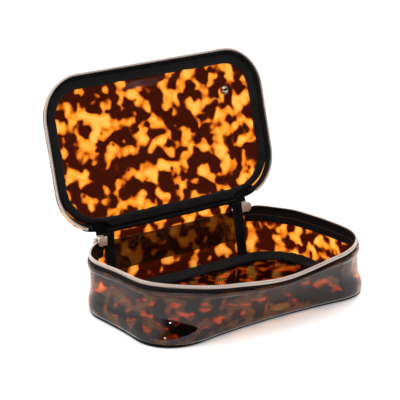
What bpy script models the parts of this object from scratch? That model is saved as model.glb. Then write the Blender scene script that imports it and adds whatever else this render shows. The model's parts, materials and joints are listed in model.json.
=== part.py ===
"""Zip-around clamshell case in soft tortoiseshell vinyl, modelled open.

Units are metres. +X runs right along the long side, +Y back towards the hinge, +Z up, and the
origin is under the middle of the floor. The lid is drawn flat in its own frame (X along the hinge,
Y away from it, Z towards the inside of the case) and hangs from an empty on the hinge axis.
"""

import math

import bmesh
import bpy
from mathutils import Matrix, Vector

# Overall size: half the lid's length, half the floor's depth, and the height of the zip's teeth.
case_half_length = 0.108
case_half_depth = 0.064
rim_height = 0.045

# Floor outline: a rounded rectangle whose front edge is drawn in by the sagging front wall.
floor_half_length = case_half_length - 0.0030
floor_half_depth = case_half_depth
floor_corner = 0.038
floor_front_bow = 0.0100

# Rim outline, where the zip runs: longer from back to front than the floor.
rim_half_length = case_half_length - 0.0052
rim_front = case_half_depth + 0.0030
rim_back = case_half_depth + 0.0072
rim_front_corner = 0.050
rim_back_corner = 0.042
rim_front_bulge = 0.0085

# How far the teeth rise at the front corners and dip elsewhere.
rim_corner_lift = 0.0017
rim_lift_start = 0.0206
rim_lift_blend = 0.0411
rim_front_dip = 0.0065
rim_dip_centre = -0.003
rim_dip_spread = 0.045
rim_rear_dip = 0.0016
rim_rear_centre = rim_half_length - 0.0051
rim_rear_spread = 0.0105

# Side wall profile, between floor and rim.
wall_flare = 0.0018
wall_flare_share = 0.20
wall_flare_spread = 0.14
wall_waist = 0.0015

# Sheet thicknesses and running gap.
vinyl = 0.0008
tape = 0.0006
gap = 0.0003

# Zip.
coil_thickness = 0.0024
coil_height = 0.0034
coil_rounding = 0.4
zip_tape_depth = 0.0125
tape_reveal = 0.0026
hem_height = 0.0036
hem_thickness = 0.0005

# Clearance at each side of the back panel, then the seam trims.
panel_side = 0.0006
piping_radius = 0.0012
piping_lift = 0.0002
floor_binding_width = 0.0072
floor_binding_height = 0.0053
post_foot_x = floor_half_length - 0.0382
post_head_x = rim_half_length - 0.0382
post_foot_clearance = 0.0020
post_half_width = 0.0048
post_thickness = 0.0022
post_stand_off = 0.0013

# Pocket strip on the back panel.
pocket_top = rim_height - 0.0017
pocket_bottom = pocket_top - 0.0245
pocket_slack = 0.0022
pocket_middle_slack = 0.6
pocket_side_share = 0.8

# Lid and hinge.
hinge_height = rim_height + 0.0058
hinge_back = case_half_depth + 0.0085
hinge_half_length = rim_half_length - 0.0373
hinge_roll_radius = 0.0011
post_top_drop = 0.0026
lean_back = math.radians(15.0)
lid_half_length = case_half_length
lid_depth = 2 * case_half_depth - 0.0012
lid_corner = 0.036
lid_panel_inset = 0.0022
lid_wall_depth = 0.0020
lid_wall_lean = 0.0006
lid_zip_start = math.radians(13.0)
lid_coil_start = math.radians(21.0)
lid_binding_width = 0.0086
lid_binding_thickness = 0.0018
lid_binding_blend = 0.0060
lid_binding_corner = 0.0020

# Rivet near the lid's far right corner.
rivet_x = lid_half_length - 0.0365
rivet_y = lid_depth - 0.0348
rivet_cap_radius = 0.0038
rivet_cap_height = 0.0021
rivet_shank_radius = 0.0011
rivet_back_radius = 0.0036
rivet_back_thickness = 0.0008

# Sliders and pulls.
slider_x = rim_half_length - 0.0299
slider_height = rim_height + 0.0005
slider_plate_radius = 0.0043
slider_tail = 0.0044
slider_tail_share = 0.82
slider_plate_thickness = 0.0009
slider_clearance = 0.0007
slider_core_width = 0.0016
slider_core_height = 0.0020
slider_core_shift = 0.0019
bail_wire = 0.00055
bail_rise = 0.0030
bail_half_span = 0.0026
pull_shift = 0.0018
link_radius = 0.0022
link_wire = 0.0005
pull_length = 0.0330
pull_top_half_width = 0.0021
pull_end_half_width = 0.0029
pull_thickness = 0.0014
pull_hole_radius = 0.0011
pull_hole_margin = 0.0020

# Facets.
corner_steps = 7
side_steps = 4
front_steps = 12
back_steps = 24
wall_rows = 6
wall_row_bias = 1.2
post_steps = 4
pocket_steps = 8
piping_sides = 8
roll_sides = 12
rivet_steps = 16
cap_steps = 5
plate_steps = 10
link_steps = 16
pull_end_steps = 8
sharp_angle = math.radians(35)

for leftover in list(bpy.data.objects):
    bpy.data.objects.remove(leftover, do_unlink=True)

parts = bpy.data.collections.new("zip_around_case")
cutters = bpy.data.collections.new("cutters")
bpy.context.scene.collection.children.link(parts)
bpy.context.scene.collection.children.link(cutters)
cutters.hide_render = True


# ---------------------------------------------------------------- materials
def finish(name, colour, roughness, metallic=0.0):
    material = bpy.data.materials.new(name)
    material.use_nodes = True
    shader = material.node_tree.nodes["Principled BSDF"]
    shader.inputs["Base Color"].default_value = (*colour, 1.0)
    shader.inputs["Roughness"].default_value = roughness
    shader.inputs["Metallic"].default_value = metallic
    material.diffuse_color = (*colour, 1.0)
    return material


tortoise_colour = (0.42, 0.13, 0.025)
smoke_colour = (0.12, 0.07, 0.02)
black_colour = (0.012, 0.012, 0.013)
rose_colour = (0.80, 0.58, 0.50)


# ---------------------------------------------------------------- object helpers
def place(name, bm, material, parent=None, smooth=False):
    """Turns a finished bmesh into a named object; a lid piece takes the hinge empty as parent."""
    bmesh.ops.recalc_face_normals(bm, faces=bm.faces)
    mesh = bpy.data.meshes.new(name)
    bm.to_mesh(mesh)
    bm.free()
    mesh.materials.append(material)
    if smooth:
        mesh.shade_smooth()
        mesh.set_sharp_from_angle(angle=sharp_angle)
    obj = bpy.data.objects.new(name, mesh)
    parts.objects.link(obj)
    obj.parent = parent
    return obj


def skin(rings, closed):
    """A solid skinned over cross-sections; an open run is capped at both ends."""
    bm = bmesh.new()
    loops = [[bm.verts.new(point) for point in ring] for ring in rings]
    pairs = list(zip(loops, loops[1:]))
    if closed:
        pairs.append((loops[-1], loops[0]))
    for near, far in pairs:
        for i in range(len(near)):
            j = (i + 1) % len(near)
            bm.faces.new((near[i], near[j], far[j], far[i]))
    if not closed:
        bm.faces.new(loops[0])
        bm.faces.new(reversed(loops[-1]))
    return bm


def sheet(rows, thickness):
    """A sheet through rows of points, thickened evenly to both sides of them."""
    half = thickness / 2
    rings = []
    count = len(rows[0])
    for i in range(count):
        line = [Vector(row[i]) for row in rows]
        before = [Vector(row[max(i - 1, 0)]) for row in rows]
        after = [Vector(row[min(i + 1, count - 1)]) for row in rows]
        inner, outer = [], []
        for k, point in enumerate(line):
            along = after[k] - before[k]
            up = line[min(k + 1, len(line) - 1)] - line[max(k - 1, 0)]
            normal = along.cross(up).normalized() * half
            outer.append(point + normal)
            inner.append(point - normal)
        rings.append(outer + inner[::-1])
    return skin(rings, closed=False)


def slab(outline, low, high):
    """A flat plate between two heights."""
    bm = bmesh.new()
    face = bm.faces.new([bm.verts.new((x, y, low)) for x, y in outline])
    lifted = bmesh.ops.extrude_face_region(bm, geom=[face])["geom"]
    top = [item for item in lifted if isinstance(item, bmesh.types.BMVert)]
    bmesh.ops.translate(bm, vec=(0, 0, high - low), verts=top)
    return bm


def helper_cutter(name, bm):
    mesh = bpy.data.meshes.new(name)
    bmesh.ops.recalc_face_normals(bm, faces=bm.faces)
    bm.to_mesh(mesh)
    bm.free()
    obj = bpy.data.objects.new(name, mesh)
    cutters.objects.link(obj)
    obj.hide_render = True
    obj.display_type = "WIRE"
    return obj


def combine(target, other, operation):
    """Adds a Boolean modifier with the exact solver."""
    modifier = target.modifiers.new(other.name, "BOOLEAN")
    modifier.operation = operation
    modifier.solver = "EXACT"
    modifier.object = other


# ---------------------------------------------------------------- outlines
def arc(centre_x, centre_y, radius, start, end, steps):
    """Points along an arc, its last one left out."""
    return [
        (
            centre_x + radius * math.cos(start + (end - start) * i / steps),
            centre_y + radius * math.sin(start + (end - start) * i / steps),
        )
        for i in range(steps)
    ]


def run(start, end, steps):
    """Points along a straight run, its last one left out."""
    return [
        (
            start[0] + (end[0] - start[0]) * i / steps,
            start[1] + (end[1] - start[1]) * i / steps,
        )
        for i in range(steps)
    ]


def bowl_outline(half_length, front, back, front_corner, back_corner, bulge):
    """Closed outline seen from above, from the back left round the front to the back right, and
    then along the back. The middle of the front is pushed out by bulge."""
    quarter = math.pi / 2
    left_back = (-half_length, back - back_corner)
    left_front = (-half_length, front_corner - front)
    front_left = (front_corner - half_length, -front)
    front_right = (half_length - front_corner, -front)
    right_front = (half_length, front_corner - front)
    right_back = (half_length, back - back_corner)
    points = arc(
        back_corner - half_length, left_back[1], back_corner, quarter, 2 * quarter, corner_steps
    )
    points += run(left_back, left_front, side_steps)
    points += arc(
        front_left[0], left_front[1], front_corner, 2 * quarter, 3 * quarter, corner_steps
    )
    points += run(front_left, front_right, front_steps)
    points += arc(front_right[0], right_front[1], front_corner, -quarter, 0, corner_steps)
    points += run(right_front, right_back, side_steps)
    points += arc(half_length - back_corner, right_back[1], back_corner, 0, quarter, corner_steps)
    back_ends = ((half_length - back_corner, back), (back_corner - half_length, back))
    points += run(*back_ends, back_steps)
    middle = (back - front) / 2
    reach = (back + front) / 2
    shaped = []
    for x, y in points:
        across = x / half_length
        forward = (y - middle) / reach
        if forward < 0:
            y -= bulge * (1 - across * across) * forward * forward
        shaped.append((x, y))
    return shaped


def outward(outline):
    """Unit normals of a closed anticlockwise outline."""
    normals = []
    for i in range(len(outline)):
        before = Vector(outline[i - 1])
        after = Vector(outline[(i + 1) % len(outline)])
        along = (after - before).normalized()
        normals.append(Vector((along.y, -along.x)))
    return normals


floor_outline = bowl_outline(
    floor_half_length, floor_half_depth, floor_half_depth, floor_corner, floor_corner,
    -floor_front_bow,
)
rim_outline = bowl_outline(
    rim_half_length, rim_front, rim_back, rim_front_corner, rim_back_corner, rim_front_bulge
)
floor_normals = outward(floor_outline)
rim_normals = outward(rim_outline)
station_count = len(floor_outline)
wall_end = station_count - back_steps
wall_stations = range(wall_end + 1)
back_stations = [wall_end + i for i in range(back_steps)] + [0]


def smooth_step(value):
    value = min(max(value, 0.0), 1.0)
    return value * value * (3 - 2 * value)


def bell(value):
    return math.exp(-value * value)


def zip_height(station):
    """Height of the teeth at one station: up at the front corners, down at the front's middle."""
    x, y = rim_outline[station]
    front = smooth_step((-y - rim_lift_start) / rim_lift_blend)
    rear = smooth_step(y / (rim_back / 2))
    dip = rim_front_dip * bell((x - rim_dip_centre) / rim_dip_spread)
    rear_dip = rim_rear_dip * bell((abs(x) - rim_rear_centre) / rim_rear_spread)
    return rim_height + front * (rim_corner_lift - dip) - rear * rear_dip


def wall_point(station, height, offset):
    """A point of the wall's middle surface, or offset outwards from it."""
    share = height / zip_height(station)
    base = Vector(floor_outline[station])
    top = Vector(rim_outline[station])
    normal = floor_normals[station].lerp(rim_normals[station], min(share, 1.0)).normalized()
    ends = smooth_step((floor_half_depth - base.y) / (floor_corner / 2))
    flare = wall_flare * bell((share - wall_flare_share) / wall_flare_spread)
    waist = wall_waist * math.sin(math.pi * min(share, 1.0))
    plan = base.lerp(top, share) + normal * (ends * (flare - waist) + offset)
    return (plan.x, plan.y, height)


# ---------------------------------------------------------------- floor and piping
piping_height = piping_radius + piping_lift
floor_inset = 2 * piping_radius + gap + vinyl / 2
floor_edge = [wall_point(i, 0.0, -floor_inset)[:2] for i in range(station_count)]
place("floor_panel", slab(floor_edge, 0.0, vinyl), finish("floor_vinyl", tortoise_colour, 0.12))

piping_rings = []
for i in range(station_count):
    ring = []
    for k in range(piping_sides):
        turn = 2 * math.pi * k / piping_sides
        height = piping_height + piping_radius * math.sin(turn)
        ring.append(wall_point(i, height, piping_radius * (math.cos(turn) - 1)))
    piping_rings.append(ring)
place("edge_piping", skin(piping_rings, closed=True), finish("piping_cloth", black_colour, 0.6),
      smooth=True)

# ---------------------------------------------------------------- side wall
wall_bottom = piping_height + piping_radius + gap
wall_drop = coil_height / 2 + gap + tape_reveal


def wall_row(share):
    row = []
    for i in wall_stations:
        top = zip_height(i) - wall_drop
        row.append(wall_point(i, wall_bottom + (top - wall_bottom) * share, 0.0))
    return row


wall_shares = [(k / wall_rows) ** wall_row_bias for k in range(wall_rows + 1)]
place("side_wall", sheet([wall_row(s) for s in wall_shares], vinyl),
      finish("wall_vinyl", tortoise_colour, 0.12), smooth=True)

hem_middle = vinyl / 2 + gap + hem_thickness / 2


def hem_row(drop):
    return [wall_point(i, zip_height(i) - wall_drop - drop, hem_middle) for i in wall_stations]


place("wall_hem", sheet([hem_row(hem_height), hem_row(hem_height / 2), hem_row(gap)],
                        hem_thickness),
      finish("hem_vinyl", tortoise_colour, 0.15), smooth=True)

# ---------------------------------------------------------------- floor seam binding
inner_face = vinyl / 2 + gap
binding_low = vinyl + gap
binding_shape = [(0.0, 0.0), (1.0, 0.0), (0.90, 0.25), (0.50, 0.50), (0.10, 0.80)]
binding_profile = [
    (-floor_inset - across * floor_binding_width, binding_low + up * floor_binding_height)
    for across, up in binding_shape
]
binding_profile += [
    (-inner_face - gap, binding_low + floor_binding_height),
    (-inner_face, wall_bottom + gap),
    (-floor_inset, wall_bottom),
]
binding_rings = [
    [wall_point(i, height, offset) for offset, height in binding_profile]
    for i in range(station_count)
]
place("floor_binding", skin(binding_rings, closed=True), finish("binding_cloth", black_colour, 0.8),
      smooth=True)

# ---------------------------------------------------------------- back panel and its trims
panel_top = hinge_height - hinge_roll_radius - gap


def back_point(x, height, offset):
    """A point of the back panel's middle surface, which leans back from floor to hinge."""
    share = height / hinge_height
    lean = math.atan2(hinge_back - floor_half_depth, hinge_height)
    y = floor_half_depth + (hinge_back - floor_half_depth) * share
    return (x, y + offset * math.cos(lean), height - offset * math.sin(lean))


def seam_x(height):
    """Where the side wall ends and the back panel begins."""
    base = floor_half_length - floor_corner
    top = rim_half_length - rim_back_corner
    return base + (top - base) * height / rim_height


def back_row(height, offset, half_width):
    steps = back_steps
    return [back_point(half_width * (2 * k / steps - 1), height, offset) for k in range(steps + 1)]


panel_heights = [wall_bottom, (wall_bottom + panel_top) / 2, panel_top]
place("back_panel", sheet([back_row(z, 0.0, seam_x(z) - panel_side) for z in panel_heights], vinyl),
      finish("back_vinyl", tortoise_colour, 0.12))

post_low = binding_low + floor_binding_height + post_foot_clearance
post_top = panel_top - post_top_drop
post_offset = -inner_face - post_stand_off
post_shape = [(-1.0, 0.0), (-0.75, 0.65), (0.0, 1.0), (0.75, 0.65), (1.0, 0.0)]


def post_x(height):
    """Middle of a post binding, which leans in a little towards its top."""
    return post_foot_x + (post_head_x - post_foot_x) * height / rim_height


for side, label in ((-1, "left"), (1, "right")):
    rings = []
    for k in range(post_steps + 1):
        z = post_low + (post_top - post_low) * k / post_steps
        ring = []
        for across, up in post_shape:
            x = side * post_x(z) + across * post_half_width
            ring.append(back_point(x, z, post_offset - up * post_thickness))
        rings.append(ring)
    place(f"back_binding_{label}", skin(rings, closed=False),
          finish(f"back_binding_{label}_cloth", black_colour, 0.8), smooth=True)

pocket_half_width = post_x(pocket_top) - pocket_side_share * post_half_width


def pocket_row(height, slack):
    row = []
    for k in range(pocket_steps + 1):
        across = 2 * k / pocket_steps - 1
        bow = slack * (1 - across * across)
        offset = -vinyl / 2 - gap - tape / 2 - bow
        row.append(back_point(pocket_half_width * across, height, offset))
    return row


pocket_rows = [
    pocket_row(pocket_bottom, 0.0),
    pocket_row((pocket_bottom + pocket_top) / 2, pocket_middle_slack * pocket_slack),
    pocket_row(pocket_top, pocket_slack),
]
place("back_pocket", sheet(pocket_rows, tape), finish("pocket_vinyl", smoke_colour, 0.15),
      smooth=True)

# ---------------------------------------------------------------- base zip
tape_offset = -(vinyl / 2 + gap + tape / 2)
coil_offset = tape_offset - gap
tape_stations = range(1, wall_end)
coil_stations = range(2, wall_end - 1)
tape_top = coil_height / 2 + gap
slider_floor = slider_height - slider_plate_radius - gap


def tape_point(station, share):
    """A point of the tape, share 0 at its lower edge and 1 at its upper, which dips at a slider."""
    low = zip_height(station) - zip_tape_depth
    high = zip_height(station) - tape_top
    if station not in coil_stations:
        high = min(high, slider_floor)
    return wall_point(station, low + (high - low) * share, tape_offset)


tape_rows = [[tape_point(i, share) for i in tape_stations] for share in (0.0, 0.5, 1.0)]
place("base_zip_tape", sheet(tape_rows, tape),
      finish("base_tape_cloth", black_colour, 0.85), smooth=True)


def coil_profile():
    """Rounded section of one half of the zip: (across, up) pairs."""
    half_across, half_up = coil_thickness / 2, coil_height / 2
    corner = coil_rounding * coil_thickness
    return [
        (half_across, corner - half_up),
        (half_across, half_up - corner),
        (half_across - corner, half_up),
        (corner - half_across, half_up),
        (-half_across, half_up - corner),
        (-half_across, corner - half_up),
        (corner - half_across, -half_up),
        (half_across - corner, -half_up),
    ]


coil_rings = [
    [wall_point(i, zip_height(i) + up, coil_offset + across) for across, up in coil_profile()]
    for i in coil_stations
]
place("base_zip_coil", skin(coil_rings, closed=False),
      finish("base_coil_metallised", rose_colour, 0.3, 1.0), smooth=True)

# ---------------------------------------------------------------- hinge
hinge = bpy.data.objects.new("lid_hinge", None)
parts.objects.link(hinge)
hinge.location = (0.0, hinge_back, hinge_height)
hinge.rotation_euler = (math.pi / 2 - lean_back, 0.0, 0.0)

bm = bmesh.new()
bmesh.ops.create_cone(
    bm, cap_ends=True, segments=roll_sides, radius1=hinge_roll_radius, radius2=hinge_roll_radius,
    depth=2 * hinge_half_length, matrix=Matrix.Rotation(math.pi / 2, 4, "Y"),
)
bmesh.ops.translate(bm, vec=(0.0, hinge_back, hinge_height), verts=bm.verts)
place("hinge_tape", bm, finish("hinge_tape_cloth", black_colour, 0.85), smooth=True)

# ---------------------------------------------------------------- lid
lid_start = hinge_roll_radius + gap + vinyl / 2


def lid_edge(inset, start=lid_zip_start, hinge_inset=0.0):
    """Open run round the lid's free side, from the hinge side's right corner to its left corner;
    start is how far into those corners it begins and ends."""
    half = lid_half_length - inset
    low, high = lid_start + inset + hinge_inset, lid_depth - inset
    radius = lid_corner - inset
    quarter = math.pi / 2
    right, top = half - radius, high - radius
    bottom = low + radius
    last = 3 * quarter - start
    points = arc(right, bottom, radius, start - quarter, 0, corner_steps)
    points += run((half, bottom), (half, top), side_steps)
    points += arc(right, top, radius, 0, quarter, corner_steps)
    points += run((right, high), (-right, high), front_steps)
    points += arc(-right, top, radius, quarter, 2 * quarter, corner_steps)
    points += run((-half, top), (-half, bottom), side_steps)
    points += arc(-right, bottom, radius, 2 * quarter, last, corner_steps)
    points.append((-right + radius * math.cos(last), bottom + radius * math.sin(last)))
    return points


def lid_outline(inset, hinge_inset=0.0):
    """Closed outline of the lid; its hinge side may be set further in."""
    points = lid_edge(inset, 0.0, hinge_inset)
    return points[:-1] + run(points[-1], points[0], back_steps)


def lid_ring_rows(levels):
    """Rows of points along the lid's edge, one for each (inset, depth)."""
    return [[(x, y, depth) for x, y in lid_edge(inset)] for inset, depth in levels]


lid_panel = place("lid_panel", slab(lid_outline(lid_panel_inset, -lid_panel_inset), 0.0, vinyl),
                  finish("lid_vinyl", tortoise_colour, 0.12), parent=hinge)

wall_low = vinyl + gap
lid_wall_inset = lid_panel_inset + vinyl / 2
lid_wall_levels = [
    (lid_wall_inset, wall_low),
    (lid_wall_inset - lid_wall_lean, wall_low + lid_wall_depth),
]
place("lid_wall", sheet(lid_ring_rows(lid_wall_levels), vinyl),
      finish("lid_wall_vinyl", tortoise_colour, 0.15), parent=hinge, smooth=True)

lid_tape_inset = lid_wall_inset + vinyl / 2 + gap + tape / 2
lid_tape_levels = [
    (lid_tape_inset, wall_low),
    (lid_tape_inset - lid_wall_lean, wall_low + lid_wall_depth),
]
place("lid_zip_tape", sheet(lid_ring_rows(lid_tape_levels), tape),
      finish("lid_tape_cloth", black_colour, 0.85), parent=hinge, smooth=True)

lid_coil_inset = coil_thickness / 2
lid_coil_depth = wall_low + lid_wall_depth + gap + coil_height / 2
lid_coil_rows = [
    [(x, y, lid_coil_depth + up) for x, y in lid_edge(lid_coil_inset + across, lid_coil_start)]
    for across, up in coil_profile()
]
lid_coil_rings = [list(ring) for ring in zip(*lid_coil_rows)]
place("lid_zip_coil", skin(lid_coil_rings, closed=False),
      finish("lid_coil_metallised", rose_colour, 0.3, 1.0), parent=hinge, smooth=True)

lid_binding_inset = lid_tape_inset + tape / 2 + gap
lid_binding_profile = [
    (0.0, 0.0),
    (0.08, 0.60),
    (0.30, 1.00),
    (0.62, 0.95),
    (0.92, 0.55),
    (1.0, 0.0),
]


def lid_binding_row(across, up):
    """A line of the frame. Its hinge side passes clear of the sliders at its ends and bows out
    between them to lie against the hinge's bead."""
    corner = (1 - across) * lid_binding_corner
    shift = lid_binding_inset - gap + corner
    row = []
    for x, y in lid_outline(lid_binding_inset + across * lid_binding_width, corner):
        if y < lid_depth / 2:
            y -= shift * smooth_step((hinge_half_length - abs(x)) / lid_binding_blend)
        row.append((x, y, wall_low + up * lid_binding_thickness))
    return row


lid_binding_rows = [lid_binding_row(across, up) for across, up in lid_binding_profile]
lid_binding_rings = [list(ring) for ring in zip(*lid_binding_rows)]
place("lid_binding", skin(lid_binding_rings, closed=True),
      finish("lid_binding_cloth", black_colour, 0.8), parent=hinge, smooth=True)

# ---------------------------------------------------------------- rivet
def turned(profile, steps):
    """A solid of revolution about Z from (radius, height) pairs, both ends on the axis."""
    bm = bmesh.new()
    points = [bm.verts.new((radius, 0.0, height)) for radius, height in profile]
    edges = [bm.edges.new(pair) for pair in zip(points, points[1:])]
    bmesh.ops.spin(
        bm, geom=points + edges, cent=(0, 0, 0), axis=(0, 0, 1), angle=2 * math.pi, steps=steps,
        use_merge=True,
    )
    bmesh.ops.remove_doubles(bm, verts=bm.verts, dist=1e-6)
    return bm


rivet_place = Matrix.Translation((rivet_x, rivet_y, 0.0))
hole_radius = rivet_shank_radius + gap
bm = bmesh.new()
bmesh.ops.create_cone(
    bm, cap_ends=True, segments=rivet_steps, radius1=hole_radius, radius2=hole_radius,
    depth=4 * vinyl, matrix=rivet_place,
)
rivet_cutter = helper_cutter("rivet_hole", bm)
rivet_cutter.parent = hinge
combine(lid_panel, rivet_cutter, "DIFFERENCE")

cap_low = vinyl + gap
cap_profile = [(0.0, -gap), (rivet_shank_radius, -gap), (rivet_shank_radius, cap_low)]
for k in range(cap_steps + 1):
    turn = math.pi / 2 * k / cap_steps
    cap_profile.append(
        (rivet_cap_radius * math.cos(turn), cap_low + rivet_cap_height * math.sin(turn))
    )
cap_profile[-1] = (0.0, cap_low + rivet_cap_height)
bm = turned(cap_profile, rivet_steps)
bmesh.ops.transform(bm, matrix=rivet_place, verts=bm.verts)
place("rivet_inner_cap", bm, finish("rivet_metal", rose_colour, 0.2, 1.0), parent=hinge,
      smooth=True)

back_high = -2 * gap
back_profile = [
    (0.0, back_high - rivet_back_thickness),
    (0.8 * rivet_back_radius, back_high - rivet_back_thickness),
    (rivet_back_radius, back_high - rivet_back_thickness / 2),
    (rivet_back_radius, back_high),
    (0.0, back_high),
]
bm = turned(back_profile, rivet_steps)
bmesh.ops.transform(bm, matrix=rivet_place, verts=bm.verts)
place("rivet_outer_cap", bm, finish("rivet_back_metal", rose_colour, 0.25, 1.0), parent=hinge,
      smooth=True)

# ---------------------------------------------------------------- sliders and pulls
rim_arc_centre = (rim_half_length - rim_back_corner, rim_back - rim_back_corner)
slider_sine = (slider_x - rim_arc_centre[0]) / rim_back_corner
chain_y = rim_arc_centre[1] + rim_back_corner * math.sqrt(1 - slider_sine**2) + coil_offset
plate_gap = coil_thickness / 2 + slider_clearance


def plate(side, near, far):
    """One plate of a slider: round towards the open zip, square towards the hinge."""
    outline = []
    for k in range(plate_steps + 1):
        turn = math.pi * (k / plate_steps - 0.5)
        outline.append(
            (slider_plate_radius * math.cos(turn), slider_plate_radius * math.sin(turn))
        )
    tail_half = slider_tail_share * slider_plate_radius
    outline += [(-slider_tail, tail_half), (-slider_tail, -tail_half)]
    bm = slab(outline, near, far)
    turn = Matrix.Rotation(math.pi / 2, 4, "X")
    bmesh.ops.transform(bm, matrix=turn, verts=bm.verts)
    bmesh.ops.scale(bm, vec=(side, 1, 1), verts=bm.verts)
    bmesh.ops.translate(bm, vec=(side * slider_x, chain_y, slider_height), verts=bm.verts)
    return bm


def wire(name, points, radius, cyclic, collection):
    """A round wire through points, as a mesh with its caps welded."""
    curve = bpy.data.curves.new(name + "_curve", "CURVE")
    curve.dimensions = "3D"
    curve.bevel_depth = radius
    curve.bevel_resolution = 1
    curve.use_fill_caps = True
    spline = curve.splines.new("POLY")
    spline.points.add(len(points) - 1)
    spline.use_cyclic_u = cyclic
    for target, point in zip(spline.points, points):
        target.co = (*point, 1.0)
    guide = bpy.data.objects.new(name + "_guide", curve)
    collection.objects.link(guide)
    bpy.context.view_layer.update()
    graph = bpy.context.evaluated_depsgraph_get()
    mesh = bpy.data.meshes.new_from_object(guide.evaluated_get(graph))
    bm = bmesh.new()
    bm.from_mesh(mesh)
    bmesh.ops.remove_doubles(bm, verts=bm.verts, dist=1e-6)
    bpy.data.objects.remove(guide, do_unlink=True)
    bpy.data.meshes.remove(mesh)
    return bm


bail_y = chain_y + plate_gap + slider_plate_thickness + bail_rise
link_drop = link_radius - link_wire - bail_wire - gap
link_height = slider_height - link_drop
hole_height = link_height - link_radius
pull_top = hole_height + pull_hole_margin
pull_bottom = pull_top - pull_length

for side, label in ((-1, "left"), (1, "right")):
    metal = finish(f"slider_{label}_metal", rose_colour, 0.25, 1.0)
    slider = place(f"slider_{label}", plate(side, plate_gap, plate_gap + slider_plate_thickness), metal)
    outer = helper_cutter(
        f"slider_{label}_outer_plate", plate(side, -plate_gap - slider_plate_thickness, -plate_gap)
    )
    core_depth = 2 * (plate_gap + slider_plate_thickness / 2)
    bm = bmesh.new()
    bmesh.ops.create_cube(bm, size=1.0)
    bmesh.ops.scale(bm, vec=(slider_core_width, core_depth, slider_core_height), verts=bm.verts)
    core_x = side * (slider_x + slider_core_shift)
    core_z = zip_height(1) + coil_height / 2 + gap + slider_core_height / 2
    bmesh.ops.translate(bm, vec=(core_x, chain_y, core_z), verts=bm.verts)
    core = helper_cutter(f"slider_{label}_core", bm)
    pull_x = side * (slider_x + pull_shift)
    foot_y = chain_y + plate_gap + slider_plate_thickness / 2
    bail_points = [
        (pull_x - bail_half_span, foot_y, slider_height),
        (pull_x - bail_half_span, bail_y - bail_wire, slider_height),
        (pull_x - bail_half_span + bail_wire, bail_y, slider_height),
        (pull_x + bail_half_span - bail_wire, bail_y, slider_height),
        (pull_x + bail_half_span, bail_y - bail_wire, slider_height),
        (pull_x + bail_half_span, foot_y, slider_height),
    ]
    bail = helper_cutter(
        f"slider_{label}_bail", wire(f"bail_{label}", bail_points, bail_wire, False, cutters)
    )
    for piece in (core, outer, bail):
        combine(slider, piece, "UNION")

    swing = bpy.data.objects.new(f"pull_{label}_pivot", None)
    parts.objects.link(swing)
    swing.location = (pull_x, bail_y, slider_height)
    ring = []
    for k in range(link_steps):
        turn = 2 * math.pi * k / link_steps
        ring.append((0.0, link_radius * math.cos(turn), link_radius * math.sin(turn) - link_drop))
    link_finish = finish(f"pull_link_{label}_metal", rose_colour, 0.25, 1.0)
    place(f"pull_link_{label}", wire(f"link_{label}", ring, link_wire, True, parts), link_finish,
          parent=swing, smooth=True)

    top = pull_top - slider_height
    bottom = pull_bottom - slider_height
    outline = arc(0.0, bottom + pull_end_half_width, pull_end_half_width, math.pi, 2 * math.pi,
                  pull_end_steps)
    outline.append((pull_end_half_width, bottom + pull_end_half_width))
    outline += arc(0.0, top - pull_top_half_width, pull_top_half_width, 0.0, math.pi, pull_end_steps)
    outline.append((-pull_top_half_width, top - pull_top_half_width))
    bm = slab(outline, -pull_thickness / 2, pull_thickness / 2)
    bmesh.ops.transform(bm, matrix=Matrix.Rotation(math.pi / 2, 4, "X"), verts=bm.verts)
    bar_finish = finish(f"pull_bar_{label}_metal", rose_colour, 0.25, 1.0)
    bar = place(f"pull_bar_{label}", bm, bar_finish, parent=swing)
    bm = bmesh.new()
    bmesh.ops.create_cone(
        bm, cap_ends=True, segments=roll_sides, radius1=pull_hole_radius, radius2=pull_hole_radius,
        depth=4 * pull_thickness, matrix=Matrix.Rotation(math.pi / 2, 4, "X"),
    )
    bmesh.ops.translate(bm, vec=(0.0, 0.0, hole_height - slider_height), verts=bm.verts)
    hole = helper_cutter(f"pull_hole_{label}", bm)
    hole.parent = swing
    combine(bar, hole, "DIFFERENCE")
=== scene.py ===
"""Zip-around clamshell case in soft tortoiseshell vinyl, standing open.

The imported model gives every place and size. Each section below makes one piece of the case, or a
group of like pieces, in the order in which the case is put together. Units are metres.
"""

import bisect
import json
import math

import bmesh
import bpy
from mathutils import Matrix, Vector, noise


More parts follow.
